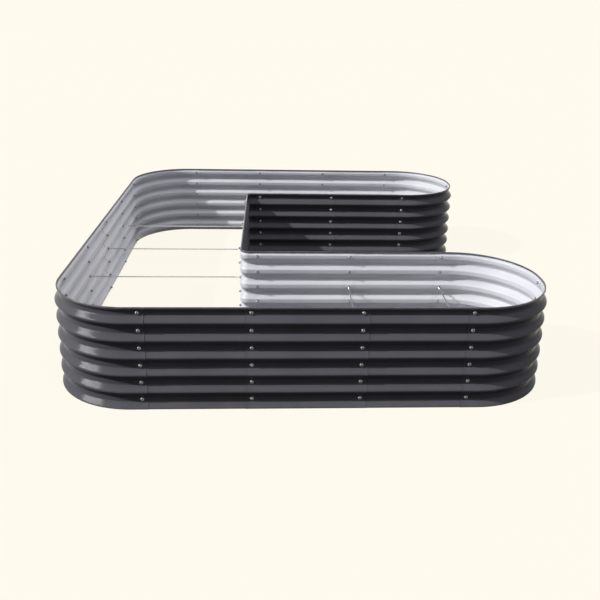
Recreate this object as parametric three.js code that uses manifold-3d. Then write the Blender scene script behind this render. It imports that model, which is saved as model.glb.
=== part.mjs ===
// Raised garden bed in corrugated sheet steel: a U-shaped, bottomless wall of lapped panels,
// bolted together, with a rubber trim over the rim and tie rods across the arms.
// Millimetres, +Z up. Origin: ground level, centre of the bed's overall rectangle.
// The U opens towards +X, and the long left arm runs along Y.
import * as THREE from 'three';
import { mergeVertices } from 'three/addons/utils/BufferGeometryUtils.js';
import Module from 'manifold-3d';

// Sheet
const PANEL_HEIGHT = 430;
const SHEET = 0.8; // thickness, measured level through the wall
const GAP = 0.3; // between any two pieces that touch
const PITCH = 74; // one ridge to the next
const RIDGE_DEPTH = 18; // how far a ridge stands out of its valleys
const FLAT = 18; // height of each flat crest and flat valley
const FIRST_ROW = 23; // rim of the sheet down to the first valley, where the top bolts sit
const RIM_STEP = 6; // how far the rim stands out of the valleys

// Plan, along the valleys
const MODULE = 432; // bolt column to bolt column of a flat panel
const CORNER_RADIUS = 320;
const CORNER_LIP = 43; // end of an outer corner's arc to its bolt column
const ARM_END_FLAT = 26; // straight run between the two corners that close an arm
const COURTYARD_RADIUS = 40; // its two corners
const INNER_LEG = 82; // corner of the courtyard to the first bolt column along an arm
const INNER_LIP = 32; // last bolt column along an arm's inner wall to the arc that closes it
const LAP = 24; // bolt column to the edge of the sheet
const CORNER_STEPS = 6; // facets in an outer corner's quarter turn
const COURTYARD_STEPS = 3;

// Fasteners
const SHANK_RADIUS = 3;
const HEAD_RADIUS = 7.5;
const HEAD_CROWN_RADIUS = 4;
const HEAD_HEIGHT = 3.6;
const HEAD_RIM = 1.2;
const NUT_RADIUS = 6.5;
const NUT_HEIGHT = 5;
const HOLE_RADIUS = 3.6;
const FASTENER_SIDES = 8;
const TIE_ROW = 2; // pitches below the top row of bolts

// Rim trim: an inverted U section
const TRIM_WALL = 1.6;
const TRIM_LEG = 6; // how far it reaches down each face of the sheet

const finish = (color, roughness, metalness) => new THREE.MeshStandardMaterial({
  color, roughness, metalness, flatShading: true,
});
const PAINT = finish(0x3c3b40, 0.4, 0.3);
const RUBBER = finish(0x1d1d20, 0.7, 0);
const ZINC = finish(0xa8a8a8, 0.35, 0.9);

const wasm = await Module();
wasm.setup();

const bed = new THREE.Group();

function add(name, geometry, material) {
  const mesh = new THREE.Mesh(geometry, material);
  mesh.name = name;
  bed.add(mesh);
  return mesh;
}

// ---- Plan of the wall, clockwise seen from above, so that its outside is on the left ----

const numbered = (name, count) => Array.from({ length: count }, (_, i) => `${name}_${i + 1}`);

// Panels are numbered from the front or from the left, also where the loop runs the other way.
const leftPanels = numbered('left_panel', 4);
const backPanels = numbered('back_panel', 3);
const backArmPanels = numbered('back_arm_inner_panel', 2).reverse();
const courtyardPanels = numbered('courtyard_panel', 2).reverse();
const frontArmPanels = numbered('front_arm_inner_panel', 2);
const frontPanels = numbered('front_panel', 3).reverse();

const width = 2 * (CORNER_RADIUS + CORNER_LIP) + frontPanels.length * MODULE;
const depth = 2 * (CORNER_RADIUS + CORNER_LIP) + leftPanels.length * MODULE;
const armWidth = 2 * CORNER_RADIUS + ARM_END_FLAT;
const courtyardDepth = depth - 2 * armWidth;

// A straight wall: a lip before its first flat panel, its panels, and a lip after the last one.
// Its columns are the bolted seams, measured along it.
function straight(before, panels, after) {
  const columns = [before, ...panels.map((_, i) => before + (i + 1) * MODULE)];
  return { length: columns.at(-1) + after, columns };
}

const corner = { turn: -Math.PI / 2, radius: CORNER_RADIUS, steps: CORNER_STEPS };
const courtyardCorner = { turn: Math.PI / 2, radius: COURTYARD_RADIUS, steps: COURTYARD_STEPS };
const innerLeg = INNER_LEG - COURTYARD_RADIUS;
const courtyardLeg = (courtyardDepth - courtyardPanels.length * MODULE) / 2 - COURTYARD_RADIUS;

const firstLip = { length: CORNER_LIP, columns: [0] };
const leftWall = straight(CORNER_LIP, leftPanels, CORNER_LIP);
const backWall = straight(CORNER_LIP, backPanels, CORNER_LIP);
const backEnd = { length: ARM_END_FLAT, columns: [ARM_END_FLAT / 2] };
const backArmWall = straight(INNER_LIP, backArmPanels, innerLeg);
const courtyardWall = straight(courtyardLeg, courtyardPanels, courtyardLeg);
const frontArmWall = straight(innerLeg, frontArmPanels, INNER_LIP);
const frontEnd = { length: ARM_END_FLAT, columns: [ARM_END_FLAT / 2] };
const frontWall = straight(CORNER_LIP, frontPanels, 0);

// The loop starts and ends at the front wall's leftmost column of bolts.
const loop = [
  firstLip, corner, leftWall, corner, backWall, corner, backEnd, corner, backArmWall,
  courtyardCorner, courtyardWall, courtyardCorner,
  frontArmWall, corner, frontEnd, corner, frontWall,
];

const outwards = (heading) => new THREE.Vector2(-Math.sin(heading), Math.cos(heading));
const forwards = (heading) => new THREE.Vector2(Math.cos(heading), Math.sin(heading));

// Stations are the places where the plan bends, and columns are the seams. Each has its
// distance along the loop, its point and its heading.
const stations = [];
const start = new THREE.Vector2(CORNER_RADIUS + CORNER_LIP - width / 2, -depth / 2);
const place = { distance: 0, point: start, heading: Math.PI };
const mark = () => stations.push({ ...place, point: place.point.clone() });

mark();
for (const stretch of loop) {
  if (stretch.turn) {
    const side = Math.sign(stretch.turn) * stretch.radius;
    const centre = place.point.clone().addScaledVector(outwards(place.heading), side);
    for (let i = 0; i < stretch.steps; i++) {
      place.heading += stretch.turn / stretch.steps;
      place.distance += Math.abs(stretch.turn / stretch.steps) * stretch.radius;
      place.point.copy(centre).addScaledVector(outwards(place.heading), -side);
      mark();
    }
  } else {
    const { distance, heading } = place;
    const from = place.point.clone();
    const onward = (along) => from.clone().addScaledVector(forwards(heading), along);
    stretch.columns = stretch.columns.map((along) => (
      { distance: distance + along, point: onward(along), heading }
    ));
    place.distance += stretch.length;
    place.point.copy(onward(stretch.length));
    mark();
  }
}

const columns = loop.flatMap((stretch) => stretch.columns ?? []);

// A place between two stations, or straight on past the loop's two ends.
function stationAt(distance) {
  let next = 1;
  while (next < stations.length - 1 && stations[next].distance <= distance) next++;
  const [before, after] = [stations[next - 1], stations[next]];
  const share = (distance - before.distance) / (after.distance - before.distance);
  return { point: before.point.clone().lerp(after.point, share), heading: before.heading };
}

// A section drawn as (outward offset, height), carried along the loop from seam to seam.
function sweep(section, from, to) {
  const bends = stations.filter(({ distance }) => distance > from + GAP && distance < to - GAP);
  const route = [stationAt(from), ...bends, stationAt(to)];
  const steps = route.length - 1;
  const geometry = new THREE.ExtrudeGeometry(section, { depth: steps, steps, bevelEnabled: false });
  const vertex = geometry.getAttribute('position');
  for (let i = 0; i < vertex.count; i++) {
    const { point, heading } = route[Math.round(vertex.getZ(i))];
    const at = point.clone().addScaledVector(outwards(heading), vertex.getX(i));
    vertex.setXYZ(i, at.x, at.y, vertex.getY(i));
  }
  geometry.computeVertexNormals();
  return geometry;
}

// ---- Sheet panels ----

// Centre line of the corrugated sheet from the rim down: an upright rim that the trim
// grips, then flat valleys and crests joined by slopes, cut off at the ground.
function sheetLine() {
  const rim = [PANEL_HEIGHT, PANEL_HEIGHT - TRIM_LEG - GAP];
  const line = rim.map((height) => new THREE.Vector2(RIM_STEP, height));
  let offset = 0;
  for (let centre = PANEL_HEIGHT - FIRST_ROW; line.at(-1).y > 0; centre -= PITCH / 2) {
    line.push(new THREE.Vector2(offset, centre + FLAT / 2), new THREE.Vector2(offset, centre - FLAT / 2));
    offset = RIDGE_DEPTH - offset;
  }
  while (line.at(-2).y <= 0) line.pop();
  const [above, below] = line.slice(-2);
  below.lerpVectors(above, below, above.y / (above.y - below.y));
  return line;
}

const LEVEL = SHEET + GAP; // how much further out the upper sheet of a lap lies

function sheetSection(level) {
  const line = sheetLine();
  const face = (offset) => line.map(({ x, y }) => new THREE.Vector2(x + level * LEVEL + offset, y));
  return new THREE.Shape([...face(SHEET / 2), ...face(-SHEET / 2).reverse()]);
}

function solidOf(geometry) {
  const bare = geometry.clone().deleteAttribute('normal').deleteAttribute('uv');
  const merged = mergeVertices(bare);
  return new wasm.Manifold(new wasm.Mesh({
    numProp: 3,
    vertProperties: merged.getAttribute('position').array,
    triVerts: new Uint32Array(merged.index.array),
  }));
}

function geometryOf(solid) {
  const { vertProperties, triVerts } = solid.getMesh();
  const geometry = new THREE.BufferGeometry();
  geometry.setAttribute('position', new THREE.BufferAttribute(vertProperties, 3));
  geometry.setIndex(new THREE.BufferAttribute(triVerts, 1));
  geometry.computeVertexNormals();
  return geometry;
}

const topRow = PANEL_HEIGHT - FIRST_ROW;
const tieRow = topRow - TIE_ROW * PITCH;

// A bolt hole through the sheets at a seam.
function holeAt({ point, heading }, height) {
  const drill = new THREE.CylinderGeometry(HOLE_RADIUS, HOLE_RADIUS, RIDGE_DEPTH, FASTENER_SIDES);
  return solidOf(drill.rotateZ(heading).translate(point.x, point.y, height));
}

// Tie rods run from a seam of an outer wall to the seam that faces it across the arm.
const ties = {
  tie_rod_left_1: [leftWall.columns[1], courtyardWall.columns[2]],
  tie_rod_left_2: [leftWall.columns[2], courtyardWall.columns[1]],
  tie_rod_left_3: [leftWall.columns[3], courtyardWall.columns[0]],
  tie_rod_back_arm_1: [backWall.columns[2], backArmWall.columns[1]],
  tie_rod_back_arm_2: [backWall.columns[3], backArmWall.columns[0]],
  tie_rod_front_arm_1: [frontWall.columns[1], frontArmWall.columns[1]],
  tie_rod_front_arm_2: [frontWall.columns[0], frontArmWall.columns[2]],
};
const tied = new Set(Object.values(ties).flat());

// The panels in the order of the loop: each runs from one seam to the next, with its laps.
const panelNames = [
  'corner_front_left', ...leftPanels, 'corner_back_left', ...backPanels,
  'corner_back_arm_rear', 'corner_back_arm_front', ...backArmPanels,
  'courtyard_corner_back', ...courtyardPanels, 'courtyard_corner_front',
  ...frontArmPanels, 'corner_front_arm_rear', 'corner_front_arm_front', ...frontPanels,
];

panelNames.forEach((name, i) => {
  const [first, last] = [columns[i], columns[i + 1]];
  const level = (i + 1) % 2; // neighbours lap over and under by turns
  let solid = solidOf(sweep(sheetSection(level), first.distance - LAP, last.distance + LAP));
  for (const column of [first, last]) {
    solid = solid.subtract(holeAt(column, topRow));
    if (tied.has(column)) solid = solid.subtract(holeAt(column, tieRow));
  }
  add(name, geometryOf(solid), PAINT);
});

// ---- Rubber trim over the rim ----

// The slot is as wide as a lap of two sheets, and the trim rests on the rim of the sheets.
function trimSection() {
  const centre = RIM_STEP + LEVEL / 2;
  const slot = (SHEET + LEVEL) / 2 + GAP;
  const side = slot + TRIM_WALL;
  const foot = PANEL_HEIGHT - TRIM_LEG;
  const seat = PANEL_HEIGHT + GAP;
  const corners = [
    [-side, foot], [-slot, foot], [-slot, seat], [slot, seat],
    [slot, foot], [side, foot], [side, seat + TRIM_WALL], [-side, seat + TRIM_WALL],
  ];
  return new THREE.Shape(corners.map(([offset, height]) => new THREE.Vector2(centre + offset, height)));
}

// Five lengths, butted together at seams: each starts at its column and ends at the next one's.
const trimStarts = {
  rim_trim_left: columns[0],
  rim_trim_back: backWall.columns[0],
  rim_trim_back_arm: backArmWall.columns[0],
  rim_trim_front_arm: courtyardWall.columns[1],
  rim_trim_front: frontArmWall.columns[2],
};
const trimEnds = [...Object.values(trimStarts).slice(1), columns.at(-1)];

Object.entries(trimStarts).forEach(([name, start], i) => {
  add(name, sweep(trimSection(), start.distance + GAP / 2, trimEnds[i].distance - GAP / 2), RUBBER);
});

// ---- Bolts and tie rods, turned about the wall's outward direction ----

const headSeat = LEVEL + SHEET / 2 + GAP; // on the upper sheet's outer face
const nutSeat = -SHEET / 2 - GAP; // on the lower sheet's inner face

const headProfile = (seat) => [
  [SHANK_RADIUS, seat], [HEAD_RADIUS, seat], [HEAD_RADIUS, seat + HEAD_RIM],
  [HEAD_CROWN_RADIUS, seat + HEAD_HEIGHT], [0, seat + HEAD_HEIGHT],
];
const nutProfile = (seat) => [
  [NUT_RADIUS, seat - NUT_HEIGHT], [NUT_RADIUS, seat], [SHANK_RADIUS, seat],
];

function turned(profile) {
  const outline = profile.map(([radius, height]) => new THREE.Vector2(radius, height));
  return new THREE.LatheGeometry(outline, FASTENER_SIDES);
}

const bolt = turned([[0, nutSeat - NUT_HEIGHT], ...nutProfile(nutSeat), ...headProfile(headSeat)]);
columns.slice(1).forEach(({ point, heading }, i) => {
  const mesh = add(`seam_bolt_${String(i + 1).padStart(2, '0')}`, bolt, ZINC);
  mesh.position.set(point.x, point.y, topRow);
  mesh.rotation.z = heading;
});

// A tie rod: a threaded rod with a nut inside and a dome head outside at each wall.
function tieGeometry(span) {
  const seat = span / 2 + nutSeat;
  const half = [[SHANK_RADIUS, seat - NUT_HEIGHT], ...nutProfile(seat), ...headProfile(span / 2 + headSeat)];
  const mirrored = half.map(([radius, height]) => [radius, -height]).reverse();
  return turned([...mirrored, ...half]);
}

for (const [name, [outer, inner]] of Object.entries(ties)) {
  const across = outer.point.clone().sub(inner.point);
  const middle = outer.point.clone().lerp(inner.point, 1 / 2);
  const mesh = add(name, tieGeometry(across.length()), ZINC);
  mesh.position.set(middle.x, middle.y, tieRow);
  mesh.rotation.z = across.angle() - Math.PI / 2;
}

export default bed;
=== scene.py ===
"""Raised garden bed in corrugated sheet steel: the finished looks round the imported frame.

Metres, +Z up, the frame's own axes: the U opens towards +X, and the long left arm runs along Y.
Every wall follows one closed loop, seen clockwise from above, so its outside is on the left. A
piece on it is placed by its distance along the loop, its offset outwards and its height.
"""

import math

import bpy
import numpy as np
from mathutils import Matrix, Vector


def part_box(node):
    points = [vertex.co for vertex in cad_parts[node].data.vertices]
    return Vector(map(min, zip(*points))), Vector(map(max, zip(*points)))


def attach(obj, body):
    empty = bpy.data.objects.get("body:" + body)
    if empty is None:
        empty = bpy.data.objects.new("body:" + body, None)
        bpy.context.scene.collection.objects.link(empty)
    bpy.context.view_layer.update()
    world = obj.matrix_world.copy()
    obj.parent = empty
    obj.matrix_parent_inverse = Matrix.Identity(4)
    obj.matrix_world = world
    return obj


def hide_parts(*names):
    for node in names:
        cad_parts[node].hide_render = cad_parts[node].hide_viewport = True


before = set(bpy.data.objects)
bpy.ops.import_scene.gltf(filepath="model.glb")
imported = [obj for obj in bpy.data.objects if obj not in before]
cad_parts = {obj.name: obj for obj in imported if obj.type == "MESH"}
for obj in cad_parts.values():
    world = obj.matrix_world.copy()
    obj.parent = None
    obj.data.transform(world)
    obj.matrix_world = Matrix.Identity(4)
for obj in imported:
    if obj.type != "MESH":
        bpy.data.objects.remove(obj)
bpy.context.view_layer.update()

BODY = "root"

# Sheet and trim
PANEL_HEIGHT = 0.430
SHEET = 0.0008
GAP = 0.0003
LEVEL = SHEET + GAP  # how much further out the upper sheet of a lap lies
PITCH = 0.074
RIDGE_DEPTH = 0.018
FIRST_ROW = 0.023  # rim of the sheet down to the top row of bolts
RIM_STEP = 0.006  # how far the rim stands out of the valleys
ROWS = 6
TRIM_WALL = 0.0016
TRIM_LEG = 0.005

# Plan, along the valleys
MODULE = 0.432
CORNER_RADIUS = 0.320
CORNER_LIP = 0.043
ARM_END_FLAT = 0.026
COURTYARD_RADIUS = 0.040
INNER_LEG = 0.082
INNER_LIP = 0.032
LAP = 0.024

# Fineness of the meshes
WAVE_STEP = 0.0022  # along the corrugation
ARC_STEP = math.radians(2)
FLAT_STEP = 0.03
SHARP_FROM = math.radians(38)
ROUND_STEPS = 6  # points on a rounded edge of the trim or a washer


# ---- Camera, as the photograph was taken ----

CAMERA_PLACE = Vector((-0.1480, -3.8671, 1.5254))
CAMERA_YAW = math.radians(3.505)
CAMERA_PITCH = math.radians(20.562)
CAMERA_ROLL = math.radians(1.391)
CAMERA_LENS, CAMERA_SENSOR = 44.94, 36
CAMERA_SHIFT = (-0.0205, -0.0302)
CAMERA_REACH = 100


def make_camera():
    data = bpy.data.cameras.new("camera")
    data.lens = CAMERA_LENS
    data.sensor_width = CAMERA_SENSOR
    data.shift_x, data.shift_y = CAMERA_SHIFT
    data.clip_end = CAMERA_REACH
    camera = bpy.data.objects.new("camera", data)
    bpy.context.scene.collection.objects.link(camera)
    ahead = Vector((
        math.sin(CAMERA_YAW) * math.cos(CAMERA_PITCH),
        math.cos(CAMERA_YAW) * math.cos(CAMERA_PITCH),
        -math.sin(CAMERA_PITCH),
    ))
    level = Vector((math.cos(CAMERA_YAW), -math.sin(CAMERA_YAW), 0))
    roll = Matrix.Rotation(CAMERA_ROLL, 3, -ahead)
    right = roll @ level
    up = roll @ level.cross(ahead)
    turn = Matrix((right, up, -ahead)).transposed().to_4x4()
    camera.matrix_world = Matrix.Translation(CAMERA_PLACE) @ turn
    bpy.context.scene.camera = camera


make_camera()


# ---- The loop ----

PANELS = [
    "corner_front_left", "left_panel_1", "left_panel_2", "left_panel_3", "left_panel_4",
    "corner_back_left", "back_panel_1", "back_panel_2", "back_panel_3",
    "corner_back_arm_rear", "corner_back_arm_front", "back_arm_inner_panel_2", "back_arm_inner_panel_1",
    "courtyard_corner_back", "courtyard_panel_2", "courtyard_panel_1", "courtyard_corner_front",
    "front_arm_inner_panel_1", "front_arm_inner_panel_2",
    "corner_front_arm_rear", "corner_front_arm_front", "front_panel_3", "front_panel_2", "front_panel_1",
]

LEFT_SPAN, FRONT_SPAN, INNER_SPAN = 4 * MODULE, 3 * MODULE, 2 * MODULE
WIDTH = 2 * (CORNER_RADIUS + CORNER_LIP) + FRONT_SPAN
DEPTH = 2 * (CORNER_RADIUS + CORNER_LIP) + LEFT_SPAN
ARM_WIDTH = 2 * CORNER_RADIUS + ARM_END_FLAT
COURTYARD_LEG = (DEPTH - 2 * ARM_WIDTH - INNER_SPAN) / 2 - COURTYARD_RADIUS
BOLT_SLACK = 0.01  # how far a seam may lie from its bolt in the frame


def wall(before, panels, after):
    """A straight wall: its length and the distances of its bolted seams."""
    return before + panels * MODULE + after, [before + i * MODULE for i in range(panels + 1)]


# Stretches: a wall as (length, its seams), a corner as (turn, radius)
RIGHT = (-math.pi / 2, CORNER_RADIUS)
LEFT = (math.pi / 2, COURTYARD_RADIUS)
LOOP = [
    (CORNER_LIP, [0.0]), RIGHT, wall(CORNER_LIP, 4, CORNER_LIP), RIGHT, wall(CORNER_LIP, 3, CORNER_LIP),
    RIGHT, (ARM_END_FLAT, [ARM_END_FLAT / 2]), RIGHT, wall(INNER_LIP, 2, INNER_LEG - COURTYARD_RADIUS),
    LEFT, wall(COURTYARD_LEG, 2, COURTYARD_LEG), LEFT,
    wall(INNER_LEG - COURTYARD_RADIUS, 2, INNER_LIP), RIGHT, (ARM_END_FLAT, [ARM_END_FLAT / 2]), RIGHT,
    wall(CORNER_LIP, 3, 0.0),
]
START, X, Y, HEADING, RATE = range(5)  # columns of STRETCHES; RATE is the turn per metre


def lay_out(loop):
    """The loop's stretches, one row each, and the distances of all its seams."""
    rows, seams = [], []
    distance, heading = 0.0, math.pi
    x, y = CORNER_RADIUS + CORNER_LIP - WIDTH / 2, -DEPTH / 2
    for first, second in loop:
        if isinstance(second, list):
            rows.append((distance, x, y, heading, 0.0))
            seams += [distance + along for along in second]
            distance += first
            x += first * math.cos(heading)
            y += first * math.sin(heading)
        else:
            rate = math.copysign(1 / second, first)
            rows.append((distance, x, y, heading, rate))
            distance += abs(first) * second
            x += (math.sin(heading + first) - math.sin(heading)) / rate
            y -= (math.cos(heading + first) - math.cos(heading)) / rate
            heading += first
    return np.array(rows), seams


STRETCHES, SEAMS = lay_out(LOOP)


def stretch_at(distance):
    """The rows of STRETCHES at distances along the loop."""
    row = np.searchsorted(STRETCHES[:, START], distance, side="right") - 1
    return STRETCHES[np.maximum(row, 0)]


def on_loop(distance):
    """Points and outward directions at distances along the loop, as two N by 2 arrays."""
    distance = np.atleast_1d(distance)
    stretch = stretch_at(distance)
    run = distance - stretch[:, START]
    turn = run * stretch[:, RATE]
    chord = np.sinc(turn / 2 / np.pi) * run
    middle = stretch[:, HEADING] + turn / 2
    point = stretch[:, [X, Y]] + chord[:, None] * np.stack([np.cos(middle), np.sin(middle)], 1)
    heading = stretch[:, HEADING] + turn
    return point, np.stack([-np.sin(heading), np.cos(heading)], 1)


def place(distance, offset, height):
    """Vertices from arrays of distance, outward offset and height, which broadcast."""
    distance, offset, height = np.broadcast_arrays(distance, offset, height)
    point, outward = on_loop(distance.ravel())
    flat = point + outward * offset.reshape(-1, 1)
    return np.column_stack([flat, height.ravel()]).reshape(*distance.shape, 3)


def check_against_frame():
    """The loop's seams have to lie where the frame's bolts are."""
    for number, distance in enumerate(SEAMS[1:], 1):
        low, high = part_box(f"seam_bolt_{number:02d}")
        off = ((low + high) / 2).xy - Vector(on_loop(distance)[0][0])
        if off.length > BOLT_SLACK:
            raise ValueError(f"seam {number} is {off.length:.4f} m from its bolt")


check_against_frame()


# ---- Meshes ----

def spread(start, stop, step):
    """Grid lines between two lines, without those two."""
    count = max(1, math.ceil((stop - start) / step))
    return [start + (stop - start) * i / count for i in range(1, count)]


def refine(marks):
    """Grid lines along the loop through the marks: fine steps round arcs and long ones on walls."""
    lines = marks[:1]
    for before, mark in zip(marks, marks[1:]):
        rate = stretch_at((before + mark) / 2)[RATE]
        lines += spread(before, mark, ARC_STEP / abs(rate) if rate else FLAT_STEP) + [mark]
    return np.array(lines)


def bends_between(start, end):
    """The distances at which walls and arcs meet between two others."""
    return [first for first in STRETCHES[:, START] if start < first < end]


def new_piece(name, vertices, faces, materials, face_material=None):
    """A smooth-shaded mesh in the scene, sharp where its faces meet at SHARP_FROM or more."""
    mesh = bpy.data.meshes.new(name)
    mesh.from_pydata(np.asarray(vertices).reshape(-1, 3).tolist(), [], faces)
    for material in materials:
        mesh.materials.append(material)
    if face_material is not None:
        mesh.polygons.foreach_set("material_index", np.asarray(face_material, np.int32))
    mesh.shade_smooth()
    mesh.set_sharp_from_angle(angle=SHARP_FROM)
    piece = bpy.data.objects.new(name, mesh)
    bpy.context.scene.collection.objects.link(piece)
    return piece


def finish_piece(piece, slot, *nodes):
    """Puts a piece on the body it rides on and hides the frame's parts that it stands for. Its slot is not
    used.
    """
    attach(piece, BODY)
    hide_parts(*nodes)


# ---- Corrugated panels ----

VALLEY_FLAT = 0.0080  # half height of the flat in a valley, where the bolts seat
VALLEY_BEND = 0.0040  # height over which the sheet bends out of a valley
CREST_BEND = 0.0060  # and over which it bends into a crest, up to its middle
RIM_BEND = 0.0045  # height over which it steps out to its rim
HOLE_RADIUS = 0.0036
PUNCH = 0.0075  # half side of the square patch that holds a hole
PATCH = 3  # cells along a side of that patch
FLARE = 0.0012  # how far the edge of an upper sheet springs out
FLARE_REACH = 0.007
SWAY = 0.0006  # unevenness of the sheets between their seams
SWAY_BY_SHEET, SWAY_ALONG, SWAY_UP = 7.3, 4.1, 27  # its phase in radians
FAR = 1.0  # distance from the sheet's border given to the rims of the holes
MICROMETRES = 6  # decimals of a metre

top_row = PANEL_HEIGHT - FIRST_ROW
ROW_HEIGHTS = [top_row - i * PITCH for i in range(ROWS)]


def wave(height):
    """Outward offset of the sheet at a height: flat valleys, straight slopes and round crests."""
    up = height - top_row
    from_valley = np.abs((up + PITCH / 2) % PITCH - PITCH / 2)
    slope_start, slope_end = VALLEY_FLAT + VALLEY_BEND, PITCH / 2 - CREST_BEND

    def rise(reach):
        into_slope = np.clip(reach - VALLEY_FLAT, 0, VALLEY_BEND) ** 2 / (2 * VALLEY_BEND)
        into_crest = np.clip(reach - slope_end, 0, CREST_BEND) ** 2 / (2 * CREST_BEND)
        return into_slope + np.clip(reach - slope_start, 0, None) - into_crest

    share = np.clip((up - VALLEY_FLAT) / RIM_BEND, 0, 1)
    rim = RIM_STEP * share**2 * (3 - 2 * share)
    return np.where(up > 0, rim, RIDGE_DEPTH * rise(from_valley) / rise(PITCH / 2))


def sway(distance, height):
    """Slight unevenness of the rolled sheets, none at the seams, the rim and the foot."""
    share, number = np.modf(np.interp(distance, SEAMS, range(len(SEAMS))))
    depth = SWAY * np.sin(np.pi * share) ** 2 * np.sin(np.pi * height / PANEL_HEIGHT)
    return depth * np.sin(SWAY_BY_SHEET * number + SWAY_ALONG * share + SWAY_UP * height)


def patch_lines(centre):
    """The grid lines of a patch about a hole."""
    return [centre + PUNCH * (2 * i - PATCH) / PATCH for i in range(PATCH + 1)]


def height_lines():
    """Grid lines up a sheet, with those of its holes' patches."""
    lines = [0.0]
    for row in reversed(ROW_HEIGHTS):
        patch = patch_lines(row)
        lines += spread(lines[-1], patch[0], WAVE_STEP) + patch
    return np.array(lines + spread(lines[-1], PANEL_HEIGHT, WAVE_STEP) + [PANEL_HEIGHT])


def distance_lines(seams, start, end):
    """Grid lines along a sheet, with those of its holes' patches and of its sprung edges.

    Marks less than a micrometre apart count as one."""
    flare = [start + FLARE_REACH / 2, start + FLARE_REACH, end - FLARE_REACH, end - FLARE_REACH / 2]
    patches = [line for seam in seams for line in patch_lines(seam)]
    marks = [start, end, *flare, *patches, *bends_between(start, end)]
    return refine(sorted({round(mark, MICROMETRES) for mark in marks}))


HEIGHTS = height_lines()
OUTSIDE, INSIDE, EDGE = 0, 1, 2  # a sheet's materials


def sheet_middle(lines, from_side, over):
    """Outward offsets of a sheet's middle surface over its grid; over is true for an upper sheet."""
    flare = FLARE * over * np.clip(1 - from_side / FLARE_REACH, 0, 1) ** 2
    below_trim = np.clip((PANEL_HEIGHT - TRIM_LEG - HEIGHTS) / FLARE_REACH, 0, 1)
    middle = wave(HEIGHTS) + LEVEL * over + flare[:, None] * below_trim
    return middle + sway(lines[:, None], HEIGHTS)


def skins(distance, middle, height):
    """Vertices on the outer skin and then on the inner skin of a sheet."""
    both = [place(distance, middle + side * SHEET / 2, height) for side in (1, -1)]
    return np.concatenate([skin.reshape(-1, 3) for skin in both])


def border(grid):
    """A grid's outermost entries, once round."""
    return [*grid[:, 0], *grid[-1, 1:], *grid[-2::-1, -1], *grid[0, -2:0:-1]]


def nearest(lines, value):
    """The number of the line that is nearest to a value."""
    return int(np.argmin(abs(lines - value)))


def punch(lines, seams, grid, keep):
    """Clears the cells of every hole's patch, and gives each hole's place and patch border."""
    holes = []
    for seam in seams:
        column = nearest(lines, seam - PUNCH)
        for height in ROW_HEIGHTS:
            row = nearest(HEIGHTS, height - PUNCH)
            keep[column : column + PATCH, row : row + PATCH] = False
            block = grid[column : column + PATCH + 1, row : row + PATCH + 1]
            holes.append((seam, height, np.array(border(block))))
    return holes


def hole_rims(lines, middle, seam, height, patch):
    """Vertices of a hole's rim on both skins, in line with those of its patch's border."""
    column, row = np.unravel_index(patch, middle.shape)
    across, up = lines[column] - seam, HEIGHTS[row] - height
    scale = HOLE_RADIUS / np.hypot(across, up)
    return skins(seam + across * scale, middle[column, row], height + up * scale)


def hole_faces(patch, first, count):
    """Faces from a patch's border to the hole's rim on both skins, and through the sheet.

    The rim's vertices start at first. A patch's vertex on the inner skin comes count later."""
    turns = len(patch)
    faces = []
    for i in range(turns):
        j = (i + 1) % turns
        a, b, c, d = patch[i], patch[j], first + i, first + j
        faces += [[b, a, c, d], [a + count, b + count, d + turns, c + turns], [d, c, c + turns, d + turns]]
    return faces


def panel_mesh(name, index, materials):
    """A sheet from seam to seam with its laps, punched at every bolt."""
    seams = SEAMS[index : index + 2]
    start, end = seams[0] - LAP, seams[1] + LAP
    lines = distance_lines(seams, start, end)
    from_side = np.minimum(lines - start, end - lines)
    middle = sheet_middle(lines, from_side, over=index % 2 == 0)
    count = middle.size
    grid = np.arange(count).reshape(middle.shape)
    keep = np.ones(np.subtract(middle.shape, 1), bool)
    holes = punch(lines, seams, grid, keep)

    cells = np.stack([grid[:-1, :-1], grid[1:, :-1], grid[1:, 1:], grid[:-1, 1:]], -1)[keep]
    rim = border(grid)
    vertices = [skins(lines[:, None], middle, HEIGHTS)]
    faces = cells[:, ::-1].tolist() + (cells + count).tolist()
    faces += [[a, b, b + count, a + count] for a, b in zip(rim, rim[1:] + rim[:1])]
    kinds = [OUTSIDE] * len(cells) + [INSIDE] * len(cells) + [EDGE] * len(rim)
    total = 2 * count
    for seam, height, patch in holes:
        vertices.append(hole_rims(lines, middle, seam, height, patch))
        faces += hole_faces(patch, total, count)
        kinds += [OUTSIDE, INSIDE, EDGE] * len(patch)
        total += 2 * len(patch)

    faces = [[int(v) for v in face] for face in faces]
    used = drop_unused(faces)
    sheet = new_piece(name + "_sheet", np.concatenate(vertices)[used], faces, materials, kinds)
    on_grid = np.minimum(from_side[:, None], np.minimum(HEIGHTS, PANEL_HEIGHT - HEIGHTS)).ravel()
    from_edge = np.concatenate([on_grid, on_grid, np.full(total - 2 * count, FAR)])[used]
    attribute = sheet.data.attributes.new("from_edge", "FLOAT", "POINT")
    attribute.data.foreach_set("value", from_edge.astype(np.float32))
    return sheet


def drop_unused(faces):
    """Renumbers the faces in place without gaps, and gives the numbers of the vertices they use."""
    used = np.unique(np.concatenate([np.array(face) for face in faces]))
    number = np.full(used[-1] + 1, -1)
    number[used] = np.arange(len(used))
    for face in faces:
        face[:] = number[face].tolist()
    return used


# ---- Rim trim ----

TRIM_ROUND = 0.0018  # radius of its upper edges
TRIM_LIP = 0.0007  # rounding of its lower edges


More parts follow.
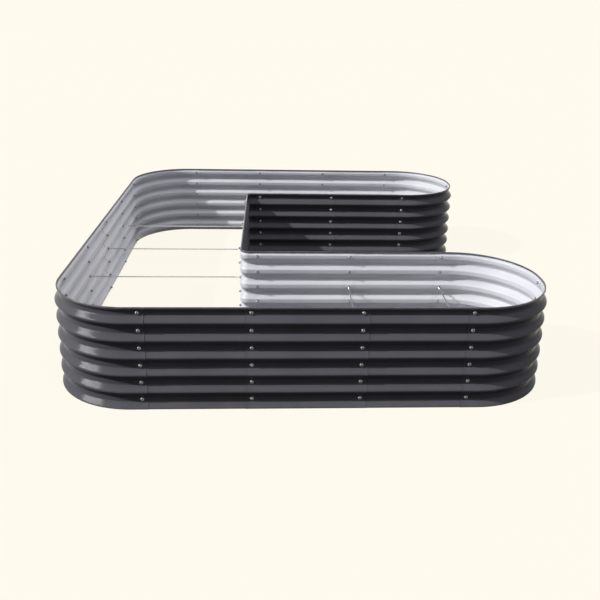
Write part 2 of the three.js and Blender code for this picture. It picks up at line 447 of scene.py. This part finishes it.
def trim_section():
    """The trim's section as (offset, height) points: an inverted U with a rounded back."""
    slot = (SHEET + LEVEL) / 2 + GAP
    side = slot + TRIM_WALL
    foot = PANEL_HEIGHT - TRIM_LEG
    seat = PANEL_HEIGHT + GAP
    back = seat + TRIM_WALL
    turns = np.linspace(0, math.pi / 2, ROUND_STEPS)
    right = [(side - TRIM_ROUND * (1 - math.cos(a)), back - TRIM_ROUND * (1 - math.sin(a))) for a in turns]
    left = [(-x, z) for x, z in reversed(right)]
    lip = [(side - TRIM_LIP, foot), (side, foot + TRIM_LIP)]
    inner = [(slot, seat), (slot, foot + TRIM_LIP), (slot + TRIM_LIP, foot)]
    points = lip + right + left + [(-x, z) for x, z in reversed(lip)]
    points += [(-x, z) for x, z in reversed(inner)] + inner
    return np.array(points) + [RIM_STEP + LEVEL / 2, 0]


def sweep(name, section, start, end, materials):
    """A closed section carried along the loop, with flat ends."""
    lines = refine([start, *bends_between(start, end), end])
    vertices = place(lines[:, None], section[None, :, 0], section[None, :, 1])
    size = len(section)
    last = (len(lines) - 1) * size
    faces = []
    for ring in range(0, last, size):
        for j in range(size):
            k = (j + 1) % size
            faces.append([ring + j, ring + k, ring + size + k, ring + size + j])
    faces += [list(reversed(range(size))), list(range(last, last + size))]
    return new_piece(name, vertices, faces, materials)


# ---- Fasteners ----
#
# A fastener's part is its vertices, its faces and a kind for each face. Its Y is the wall's outward
# direction, with 0 on the middle of the inner sheet.

SIDES = 24
WASHER_RADIUS, WASHER_HOLE, WASHER_THICK = 0.0075, 0.0033, 0.0011
HEAD_SIDES, HEAD_RINGS = 40, 14
HEAD_RADIUS, HEAD_HEIGHT, HEAD_RIM, HEAD_BEVEL = 0.0062, 0.0036, 0.0009, 0.0003
CROSS_REACH, CROSS_HALF_WIDTH, CROSS_DEPTH, CROSS_BEVEL = 0.0038, 0.0010, 0.0024, 0.0003
# The recess is painted dark from this depth on: painted shade, where the hollow of a cross recess lies in
# shade.
RECESS_SHADE_DEPTH = CROSS_DEPTH / 3  # depth from which the recess is dark
NUT_ACROSS, NUT_HEIGHT, NUT_CHAMFER = 0.0100, 0.0046, 0.0007
SHANK_SIDES, SHANK_RADIUS, SHANK_END = 16, 0.0029, 0.0035
THREAD_PITCH, THREAD_DEPTH = 0.0010, 0.0004
ROD_THREAD = 0.034  # threaded length at each end of a tie rod
# The second kind of face takes a near-black zinc, which is painted shade in the cross recess.
PLATED, PAINTED_SHADE, BRIGHT = 0, 1, 2  # kinds of face, in the order of their materials
TWIST = 2.4  # each head is turned this much further than the one before
TIE_ROW = 2
TIE_RODS = {
    "tie_rod_left_1": (2, 16), "tie_rod_left_2": (3, 15), "tie_rod_left_3": (4, 14),
    "tie_rod_back_arm_1": (8, 12), "tie_rod_back_arm_2": (9, 11),
    "tie_rod_front_arm_1": (22, 18), "tie_rod_front_arm_2": (21, 19),
}
TIED_SEAMS = {seam for ends in TIE_RODS.values() for seam in ends}

HEAD_SEAT = LEVEL + SHEET / 2 + GAP
NUT_SEAT = -SHEET / 2 - GAP
HEAD_BASE = HEAD_SEAT + WASHER_THICK
NUT_BASE = NUT_SEAT - WASHER_THICK


def turned(profile, sides=SIDES):
    """A solid turned about Y from (radius, along) points.

    A profile whose ends lie on the axis is closed there; any other closes on itself."""
    profile = np.array(profile)
    closed = profile[0, 0] > 0
    angle = np.arange(sides) * 2 * math.pi / sides
    ring = np.stack([np.cos(angle), np.zeros(sides), np.sin(angle)], 1)
    rings = profile if closed else profile[1:-1]
    vertices = rings[:, 0, None, None] * ring + rings[:, 1, None, None] * np.array([0, 1, 0])
    vertices = vertices.reshape(-1, 3)
    count = len(rings)
    faces = []
    for i in range(count if closed else count - 1):
        j = (i + 1) % count
        for k in range(sides):
            m = (k + 1) % sides
            faces.append([i * sides + k, j * sides + k, j * sides + m, i * sides + m])
    if not closed:
        low, high = len(vertices), len(vertices) + 1
        vertices = np.concatenate([vertices, [[0, profile[0, 1], 0], [0, profile[-1, 1], 0]]])
        last = (count - 1) * sides
        for k in range(sides):
            m = (k + 1) % sides
            faces += [[low, k, m], [last + m, last + k, high]]
    return vertices, faces, [PLATED] * len(faces)


def washer(seat, outward):
    """A washer with a rounded outer edge; outward is 1 or -1."""
    half = WASHER_THICK / 2
    rim = [
        (WASHER_RADIUS - half + half * math.cos(a), seat + outward * half * (1 + math.sin(a)))
        for a in np.linspace(-math.pi / 2, math.pi / 2, ROUND_STEPS)
    ]
    return turned([(WASHER_HOLE, seat), *rim, (WASHER_HOLE, seat + outward * WASHER_THICK)][::outward])


def cross_recess(x, z):
    """Depth of the cross recess at places on a head, deepest in its middle."""
    x, z = abs(x), abs(z)
    bar = np.minimum(CROSS_REACH - x, CROSS_HALF_WIDTH - z)
    other = np.minimum(CROSS_REACH - z, CROSS_HALF_WIDTH - x)
    inside = np.clip(np.maximum(bar, other) / CROSS_BEVEL, 0, 1)
    return CROSS_DEPTH * inside * (1 - np.hypot(x, z) / (2 * CROSS_REACH))


def pan_head():
    """A low round head on its washer, with a cross recess."""
    share = np.linspace(1, 0, HEAD_RINGS)
    crown = HEAD_BASE + HEAD_RIM + (HEAD_HEIGHT - HEAD_RIM) * np.sqrt(1 - share**2)
    foot = [(0, HEAD_BASE), (HEAD_RADIUS - HEAD_BEVEL, HEAD_BASE), (HEAD_RADIUS, HEAD_BASE + HEAD_BEVEL)]
    vertices, faces, _ = turned([*foot, *zip(HEAD_RADIUS * share, crown)], HEAD_SIDES)
    on_crown = vertices[:, 1] > HEAD_BASE + HEAD_RIM
    depth = np.where(on_crown, cross_recess(vertices[:, 0], vertices[:, 2]), 0)
    vertices[:, 1] -= depth
    # Faces deep in the recess take the near-black zinc: painted shade.
    kinds = [PAINTED_SHADE if depth[face].max() > RECESS_SHADE_DEPTH else PLATED for face in faces]
    return vertices, faces, kinds


def thread(start, stop):
    """A threaded length as ridged rings."""
    turns = max(1, round((stop - start) / THREAD_PITCH))
    lines = np.linspace(start, stop, 2 * turns + 1)
    return [(SHANK_RADIUS - THREAD_DEPTH * (i % 2 == 0), line) for i, line in enumerate(lines)]


def shank():
    """The screw from inside its head to its end, with the thread that stands out of the nut."""
    end = NUT_BASE - NUT_HEIGHT - SHANK_END
    inside_head = HEAD_BASE + HEAD_BEVEL
    tip = [(0, end), (SHANK_RADIUS - 2 * THREAD_DEPTH, end)]
    plain = [(SHANK_RADIUS, inside_head), (0, inside_head)]
    return turned([*tip, *thread(end + THREAD_DEPTH, NUT_BASE), *plain], SHANK_SIDES)


def hex_nut():
    """A hexagon nut with chamfered corners, on the inside of the wall."""
    corner, flat = NUT_ACROSS / math.sqrt(3), NUT_ACROSS / 2 - THREAD_DEPTH
    top = NUT_BASE - NUT_HEIGHT
    vertices, faces, kinds = turned([
        (SHANK_RADIUS, top), (flat, top), (corner, top + NUT_CHAMFER),
        (corner, NUT_BASE - NUT_CHAMFER), (flat, NUT_BASE), (SHANK_RADIUS, NUT_BASE),
    ])
    angle = np.arctan2(vertices[:, 2], vertices[:, 0])
    sector = (angle + math.pi / 6) % (math.pi / 3) - math.pi / 6
    limit = NUT_ACROSS / 2 / np.cos(sector)
    scale = np.minimum(1, limit / np.hypot(vertices[:, 0], vertices[:, 2]))
    vertices *= np.column_stack([scale, np.ones_like(scale), scale])
    return vertices, faces, kinds


def join(parts):
    """Several parts as one."""
    vertices, faces, kinds, count = [], [], [], 0
    for part_vertices, part_faces, part_kinds in parts:
        vertices.append(part_vertices)
        faces += [[v + count for v in face] for face in part_faces]
        kinds += part_kinds
        count += len(part_vertices)
    return np.concatenate(vertices), faces, kinds


def clamp():
    """What grips the two sheets of a seam: a head and a nut, each on its washer."""
    return join([washer(HEAD_SEAT, 1), pan_head(), washer(NUT_SEAT, -1), hex_nut()])


def tie_rod(length):
    """A plain rod with threaded ends."""
    half = length / 2
    plain = half - ROD_THREAD
    ends = thread(-half, -plain), thread(plain, half)
    shoulders = [(SHANK_RADIUS, -plain + THREAD_PITCH), (SHANK_RADIUS, plain - THREAD_PITCH)]
    vertices, faces, _ = turned([(0, -half), *ends[0], *shoulders, *ends[1], (0, half)], SHANK_SIDES)
    return vertices, faces, [BRIGHT] * len(faces)


def aim(part, point, outward, height, twist=0.0):
    """Turns a part about its Y by twist, then puts it at a plan point with its Y along outward."""
    vertices, faces, kinds = part
    c, s = math.cos(twist), math.sin(twist)
    x, y, z = vertices.T
    along = np.array([outward[1], -outward[0]])
    flat = point + (x * c - z * s)[:, None] * along + y[:, None] * outward
    return np.column_stack([flat, height + x * s + z * c]), faces, kinds


def at_seam(part, seam, height, twist=0.0):
    """Aims a part at a seam of the loop."""
    point, outward = on_loop(SEAMS[seam])
    return aim(part, point[0], outward[0], height, twist)


# ---- Materials ----
#
# Colours are display values from 0 to 255, and a share is the most that a layer covers.

PAINT_DARK, PAINT_LIGHT = (92, 91, 96), (99, 98, 103)
PAINT_GRAIN, GRAIN_SHARE = (118, 117, 122), 0.10
PAINT_RUBBED, RUBBED_SHARE = (140, 139, 144), 0.20
PAINT_WEAR_SHARE, COAT_WEAR_SHARE = 0.12, 0.5
PAINT_SPECULAR, COAT_SPECULAR, RUBBER_SPECULAR = 0.03, 0.2, 0.5
PAINT_PEEL, COAT_PEEL, RUBBER_SKIN, ZINC_GRAIN = 0.000012, 0.00003, 0.0001, 0.00005  # bump depths
COAT_DARK, COAT_LIGHT = (222, 222, 228), (231, 231, 235)
COAT_MARK, MARK_SHARE = (204, 205, 213), 0.08
DUST, DUST_SHARE, DUST_TOP, DUST_ROUGHNESS = (142, 132, 118), 0.12, 0.07, 0.8
SOIL, SOIL_SHARE, SOIL_TOP = (150, 132, 112), 0.35, 0.06
STEEL = (150, 150, 154)
EDGE_WEAR = 0.0012  # reach of the wear along a sheet's border
# The near-black edge colour is painted shade: it draws the dark line of the gap under each lap. The lighter
# one is wear.
CUT_PAINTED_SHADE, CUT_WORN, CUT_METALLIC = (20, 20, 22), (60, 60, 63), 0.2
RUBBER_DARK, RUBBER_LIGHT = (70, 71, 78), (90, 91, 99)
ZINC_TONES = {  # in the order of PLATED, PAINTED_SHADE and BRIGHT
    "zinc": ((122, 124, 130), (156, 157, 162)),
    # These recess tones are painted shade, not the zinc's own colour.
    "zinc_recess_painted_shade": ((30, 30, 32), (48, 48, 50)),
    "zinc_rod": ((172, 173, 178), (202, 203, 206)),
}


MIX_SHARE, MIX_FIRST, MIX_SECOND, MIX_RESULT = 0, 6, 7, 2  # sockets that a Mix node uses for colours


def srgb(red, green, blue):
    """A colour given in display values, as linear RGBA."""
    values = [c / 255 for c in (red, green, blue)]
    return tuple(c / 12.92 if c <= 0.04045 else ((c + 0.055) / 1.055) ** 2.4 for c in values) + (1,)


class Nodes:
    """Short calls that add shader nodes; an input may be a value or another node's socket."""

    def __init__(self, tree):
        self.tree = tree

    def add(self, kind, inputs=(), **settings):
        node = self.tree.nodes.new("ShaderNode" + kind)
        for key, value in settings.items():
            setattr(node, key, value)
        for key, value in dict(inputs).items():
            self.feed(node.inputs[key], value)
        return node

    def feed(self, socket, value):
        if isinstance(value, bpy.types.NodeSocket):
            self.tree.links.new(value, socket)
        else:
            socket.default_value = value

    def math(self, operation, first, second=0.0):
        return self.add("Math", {0: first, 1: second}, operation=operation).outputs[0]

    def times(self, first, second):
        return self.math("MULTIPLY", first, second)

    def ramp(self, value, start, stop, low=0.0, high=1.0):
        """A smooth change from low to high while the value goes from start to stop."""
        inputs = {"Value": value, "From Min": start, "From Max": stop, "To Min": low, "To Max": high}
        return self.add("MapRange", inputs, interpolation_type="SMOOTHSTEP").outputs[0]

    def noise(self, vector, scale, detail):
        return self.add("TexNoise", {"Vector": vector, "Scale": scale, "Detail": detail}).outputs[0]

    def patches(self, vector, scale, detail, start, stop, **ends):
        """A noise as patches: start and stop are the noise's values at their outer and inner edge."""
        return self.ramp(self.noise(vector, scale, detail), start, stop, **ends)

    def stretched(self, vector, along, up):
        """The coordinates scaled apart, so that a noise on them draws level streaks."""
        return self.add("Mapping", {"Vector": vector, "Scale": (along, along, up)}).outputs[0]

    def mix(self, share, first, second):
        """A colour between two."""
        inputs = {MIX_SHARE: share, MIX_FIRST: first, MIX_SECOND: second}
        return self.add("Mix", inputs, data_type="RGBA").outputs[MIX_RESULT]

    def cover(self, colour, mask, share, other):
        """The colour with another over it, up to a share where the mask is 1."""
        return self.mix(self.times(mask, share), colour, srgb(*other))

    def bump(self, height, distance):
        return self.add("Bump", {"Height": height, "Distance": distance}).outputs[0]

    def position(self):
        """The place on the object and its height."""
        place = self.add("TexCoord").outputs["Object"]
        return place, self.add("SeparateXYZ", {0: place}).outputs[2]

    def edge_share(self):
        """1 at the border of a sheet, falling to 0 a little way in."""
        return self.ramp(self.add("Attribute", attribute_name="from_edge").outputs["Fac"], EDGE_WEAR, 0)


def new_material(name):
    material = bpy.data.materials.new(name)
    material.use_nodes = True
    nodes = Nodes(material.node_tree)
    return material, nodes, material.node_tree.nodes["Principled BSDF"]


def dress(nodes, shader, **inputs):
    """Feeds the shader's inputs, named in small letters."""
    for key, value in inputs.items():
        nodes.feed(shader.inputs[key.replace("_", " ").title().replace("Ior", "IOR")], value)


def paint_material():
    """Charcoal powder coat: fine orange peel, rubbed crests, and a little dust low down."""
    material, nodes, shader = new_material("charcoal_paint")
    place, height = nodes.position()
    tone = nodes.patches(place, scale=3.5, detail=4, start=0.3, stop=0.7)
    colour = nodes.mix(tone, srgb(*PAINT_DARK), srgb(*PAINT_LIGHT))
    grain = nodes.patches(place, scale=900, detail=2, start=0.3, stop=0.7)
    colour = nodes.cover(colour, grain, GRAIN_SHARE, PAINT_GRAIN)
    level = nodes.stretched(place, along=5, up=420)
    streaks = nodes.patches(level, scale=1, detail=3, start=0.60, stop=0.72)
    turns = nodes.times(nodes.math("SUBTRACT", height, top_row), 2 * math.pi / PITCH)
    crests = nodes.ramp(nodes.math("COSINE", turns), 0.2, -1.0)
    colour = nodes.cover(colour, nodes.times(streaks, crests), RUBBED_SHARE, PAINT_RUBBED)
    dust = nodes.patches(place, scale=16, detail=5, start=0.42, stop=0.75)
    dust = nodes.times(dust, nodes.ramp(height, DUST_TOP, 0.0))
    colour = nodes.cover(colour, dust, DUST_SHARE, DUST)
    worn = nodes.patches(place, scale=240, detail=4, start=0.46, stop=0.60)
    colour = nodes.cover(colour, nodes.times(worn, nodes.edge_share()), PAINT_WEAR_SHARE, STEEL)
    rough = nodes.patches(place, scale=22, detail=3, start=0.3, stop=0.7, low=0.12, high=0.16)
    rough = nodes.math("ADD", rough, nodes.times(dust, DUST_SHARE * DUST_ROUGHNESS))
    peel = nodes.bump(nodes.noise(place, scale=380, detail=1), PAINT_PEEL)
    dress(nodes, shader, base_color=colour, roughness=rough, normal=peel, specular_ior_level=PAINT_SPECULAR)
    return material


def edge_material():
    """Cut edges of the sheets, near black as painted shade of the gap under each lap; the coat is thin
    there, and steel shows through in lighter worn places.
    """
    material, nodes, shader = new_material("cut_edge")
    place, _ = nodes.position()
    worn = nodes.patches(place, scale=60, detail=4, start=0.52, stop=0.72)
    colour = nodes.mix(worn, srgb(*CUT_PAINTED_SHADE), srgb(*CUT_WORN))
    rough = nodes.ramp(worn, 0, 1, low=0.5, high=0.38)
    dress(nodes, shader, base_color=colour, roughness=rough, metallic=CUT_METALLIC)
    return material


def coat_material():
    """Pale back coat of the sheets, with faint level roller marks and soil stain at the foot."""
    material, nodes, shader = new_material("pale_coat")
    place, height = nodes.position()
    tone = nodes.patches(place, scale=2.5, detail=3, start=0.3, stop=0.7)
    colour = nodes.mix(tone, srgb(*COAT_DARK), srgb(*COAT_LIGHT))
    level = nodes.stretched(place, along=2, up=260)
    marks = nodes.patches(level, scale=1, detail=3, start=0.35, stop=0.65)
    colour = nodes.cover(colour, marks, MARK_SHARE, COAT_MARK)
    stain = nodes.patches(place, scale=11, detail=5, start=0.4, stop=0.7)
    colour = nodes.cover(colour, nodes.times(stain, nodes.ramp(height, SOIL_TOP, 0.0)), SOIL_SHARE, SOIL)
    worn = nodes.patches(place, scale=200, detail=4, start=0.5, stop=0.62)
    colour = nodes.cover(colour, nodes.times(worn, nodes.edge_share()), COAT_WEAR_SHARE, STEEL)
    rough = nodes.ramp(marks, 0, 1, low=0.34, high=0.42)
    peel = nodes.bump(nodes.noise(place, scale=380, detail=1), COAT_PEEL)
    dress(nodes, shader, base_color=colour, roughness=rough, normal=peel, specular_ior_level=COAT_SPECULAR)
    return material


def rubber_material():
    """Dark rubber with a matt bloom and the soft sheen of a drawn strip."""
    material, nodes, shader = new_material("rubber")
    place, _ = nodes.position()
    bloom = nodes.patches(place, scale=30, detail=4, start=0.35, stop=0.7)
    colour = nodes.mix(bloom, srgb(*RUBBER_DARK), srgb(*RUBBER_LIGHT))
    rough = nodes.ramp(bloom, 0, 1, low=0.36, high=0.5)
    skin = nodes.bump(nodes.noise(place, scale=650, detail=2), RUBBER_SKIN)
    dress(nodes, shader, base_color=colour, roughness=rough, normal=skin, specular_ior_level=RUBBER_SPECULAR)
    return material


def zinc_material(name, dark, light):
    """Zinc plating with faint mottling and duller patches."""
    material, nodes, shader = new_material(name)
    place, _ = nodes.position()
    mottle = nodes.patches(place, scale=260, detail=4, start=0.3, stop=0.7)
    colour = nodes.mix(mottle, srgb(*dark), srgb(*light))
    rough = nodes.patches(place, scale=140, detail=3, start=0.3, stop=0.7, low=0.30, high=0.50)
    grain = nodes.bump(nodes.noise(place, scale=1500, detail=2), ZINC_GRAIN)
    dress(nodes, shader, base_color=colour, roughness=rough, normal=grain, metallic=1.0)
    return material


# ---- The pieces ----

TRIM_STARTS = {
    "rim_trim_left": 0, "rim_trim_back": 6, "rim_trim_back_arm": 11,
    "rim_trim_front_arm": 15, "rim_trim_front": 19,
}


def make_panels():
    materials = [paint_material(), coat_material(), edge_material()]
    for index, name in enumerate(PANELS):
        finish_piece(panel_mesh(name, index, materials), "panel_paint", name)


def make_trims():
    rubber = rubber_material()
    ends = [*list(TRIM_STARTS.values())[1:], len(SEAMS) - 1]
    for (name, seam), next_seam in zip(TRIM_STARTS.items(), ends):
        start, end = SEAMS[seam] + GAP / 2, SEAMS[next_seam] - GAP / 2
        finish_piece(sweep(name + "_rubber", trim_section(), start, end, [rubber]), "rim_rubber", name)


def make_bolts(grip, zinc):
    """A column of bolts for each seam, without the row that a tie rod takes."""
    bolt = join([grip, shank()])
    for seam in range(1, len(SEAMS)):
        rows = [i for i in range(ROWS) if i != TIE_ROW or seam not in TIED_SEAMS]
        parts = [at_seam(bolt, seam, ROW_HEIGHTS[i], TWIST * (seam * ROWS + i)) for i in rows]
        vertices, faces, kinds = join(parts)
        column = new_piece(f"seam_bolts_{seam:02d}", vertices, faces, zinc, kinds)
        finish_piece(column, "zinc", f"seam_bolt_{seam:02d}")


def make_tie_rods(grip, zinc):
    """Rods from wall to wall, gripped at both ends."""
    height = ROW_HEIGHTS[TIE_ROW]
    for name, ends in TIE_RODS.items():
        first, second = (on_loop(SEAMS[seam])[0][0] for seam in ends)
        span = np.linalg.norm(second - first)
        rod = aim(tie_rod(span + 2 * HEAD_BASE), (first + second) / 2, (second - first) / span, height)
        grips = [at_seam(grip, seam, height, TWIST * seam) for seam in ends]
        vertices, faces, kinds = join([rod, *grips])
        finish_piece(new_piece(name + "_steel", vertices, faces, zinc, kinds), "zinc", name)


make_panels()
make_trims()
clamps = clamp()
plated = [zinc_material(name, *tones) for name, tones in ZINC_TONES.items()]
make_bolts(clamps, plated)
make_tie_rods(clamps, plated)


# ---- Floor and light ----

CREAM = srgb(255, 250, 238)
KEY_FROM, KEY_STRENGTH = (77, 36.5), 2.85  # azimuth from -Y towards -X and elevation, in degrees
FILL_FROM, FILL_STRENGTH = (-28, 69), 0.82
BACK_FROM, BACK_STRENGTH = (-150, 35), 1.05
KEY_SOFTNESS, FILL_SOFTNESS = 1.5, 25  # widths in degrees
SOFTBOX_FROM, SOFTBOX_DISTANCE = (72.5, 28), 6.0
SOFTBOX_SIZE, SOFTBOX_POWER = (3.0, 1.7), 1050.0
SKY, SKY_FILL = srgb(222, 227, 255), 0.14
FLOOR_BOUNCE = srgb(70, 69, 66)
FLOOR_GLOW = 0.95  # share of the floor's brightness that no shadow takes away
FLOOR_REACH, FLOOR_DROP = 30, 0.0005


def seen(nodes):
    """1 for the rays that see the background, straight or in metal and glass."""
    ray = nodes.add("LightPath").outputs
    seen_in_gloss = nodes.math("MAXIMUM", ray["Is Glossy Ray"], ray["Is Transmission Ray"])
    return nodes.math("MAXIMUM", ray["Is Camera Ray"], seen_in_gloss)


def make_floor():
    """A wide floor that looks cream, sheds little light and keeps the bed's shadow."""
    material, nodes, _ = new_material("floor")
    visible = seen(nodes)
    diffuse = nodes.add("BsdfDiffuse", {"Color": nodes.mix(visible, FLOOR_BOUNCE, CREAM)})
    glow = nodes.add("Emission", {"Color": CREAM})
    share = nodes.times(visible, FLOOR_GLOW)
    mixed = nodes.add("MixShader", {0: share, 1: diffuse.outputs[0], 2: glow.outputs[0]})
    nodes.feed(material.node_tree.nodes["Material Output"].inputs["Surface"], mixed.outputs[0])
    square = ((-1, -1), (1, -1), (1, 1), (-1, 1))
    corners = [(x * FLOOR_REACH, y * FLOOR_REACH, -FLOOR_DROP) for x, y in square]
    new_piece("floor", corners, [[0, 1, 2, 3]], [material])


def make_sky():
    """A cream backdrop where it is seen, and a weak cool sky where it lights."""
    world = bpy.data.worlds.new("studio")
    world.use_nodes = True
    bpy.context.scene.world = world
    nodes = Nodes(world.node_tree)
    background = world.node_tree.nodes["Background"]
    visible = seen(nodes)
    nodes.feed(background.inputs["Color"], nodes.mix(visible, SKY, CREAM))
    nodes.feed(background.inputs["Strength"], nodes.ramp(visible, 0, 1, SKY_FILL, 1.0))


def light_from(name, kind, azimuth, elevation, distance=0.0, target=(0, 0, 0)):
    """A lamp that shines on the target from an azimuth and an elevation, in degrees."""
    lamp = bpy.data.lights.new(name, kind)
    light = bpy.data.objects.new(name, lamp)
    azimuth, elevation = math.radians(azimuth), math.radians(elevation)
    away = Vector((
        -math.sin(azimuth) * math.cos(elevation), -math.cos(azimuth) * math.cos(elevation),
        math.sin(elevation),
    ))
    turn = away.to_track_quat("Z", "Y").to_matrix().to_4x4()
    light.matrix_world = Matrix.Translation(Vector(target) + away * distance) @ turn
    bpy.context.scene.collection.objects.link(light)
    return light, lamp


def make_sun(name, place, strength, softness):
    """A far lamp that lights without showing in the gloss."""
    light, sun = light_from(name, "SUN", *place)
    sun.energy = strength
    sun.angle = math.radians(softness)
    light.visible_glossy = False


def make_softbox():
    """A lamp that only shows in the gloss, as the photograph's bright patches on the round corner."""
    corner = (-WIDTH / 2, -DEPTH / 2, PANEL_HEIGHT / 2)
    light, box = light_from("softbox", "AREA", *SOFTBOX_FROM, SOFTBOX_DISTANCE, corner)
    box.shape = "RECTANGLE"
    box.size, box.size_y = SOFTBOX_SIZE
    box.energy = SOFTBOX_POWER
    light.visible_diffuse = False


make_floor()
make_sky()
make_sun("key", KEY_FROM, KEY_STRENGTH, KEY_SOFTNESS)
make_sun("fill", FILL_FROM, FILL_STRENGTH, FILL_SOFTNESS)
make_sun("back_fill", BACK_FROM, BACK_STRENGTH, FILL_SOFTNESS)
make_softbox()
bpy.context.scene.view_settings.view_transform = "Standard"
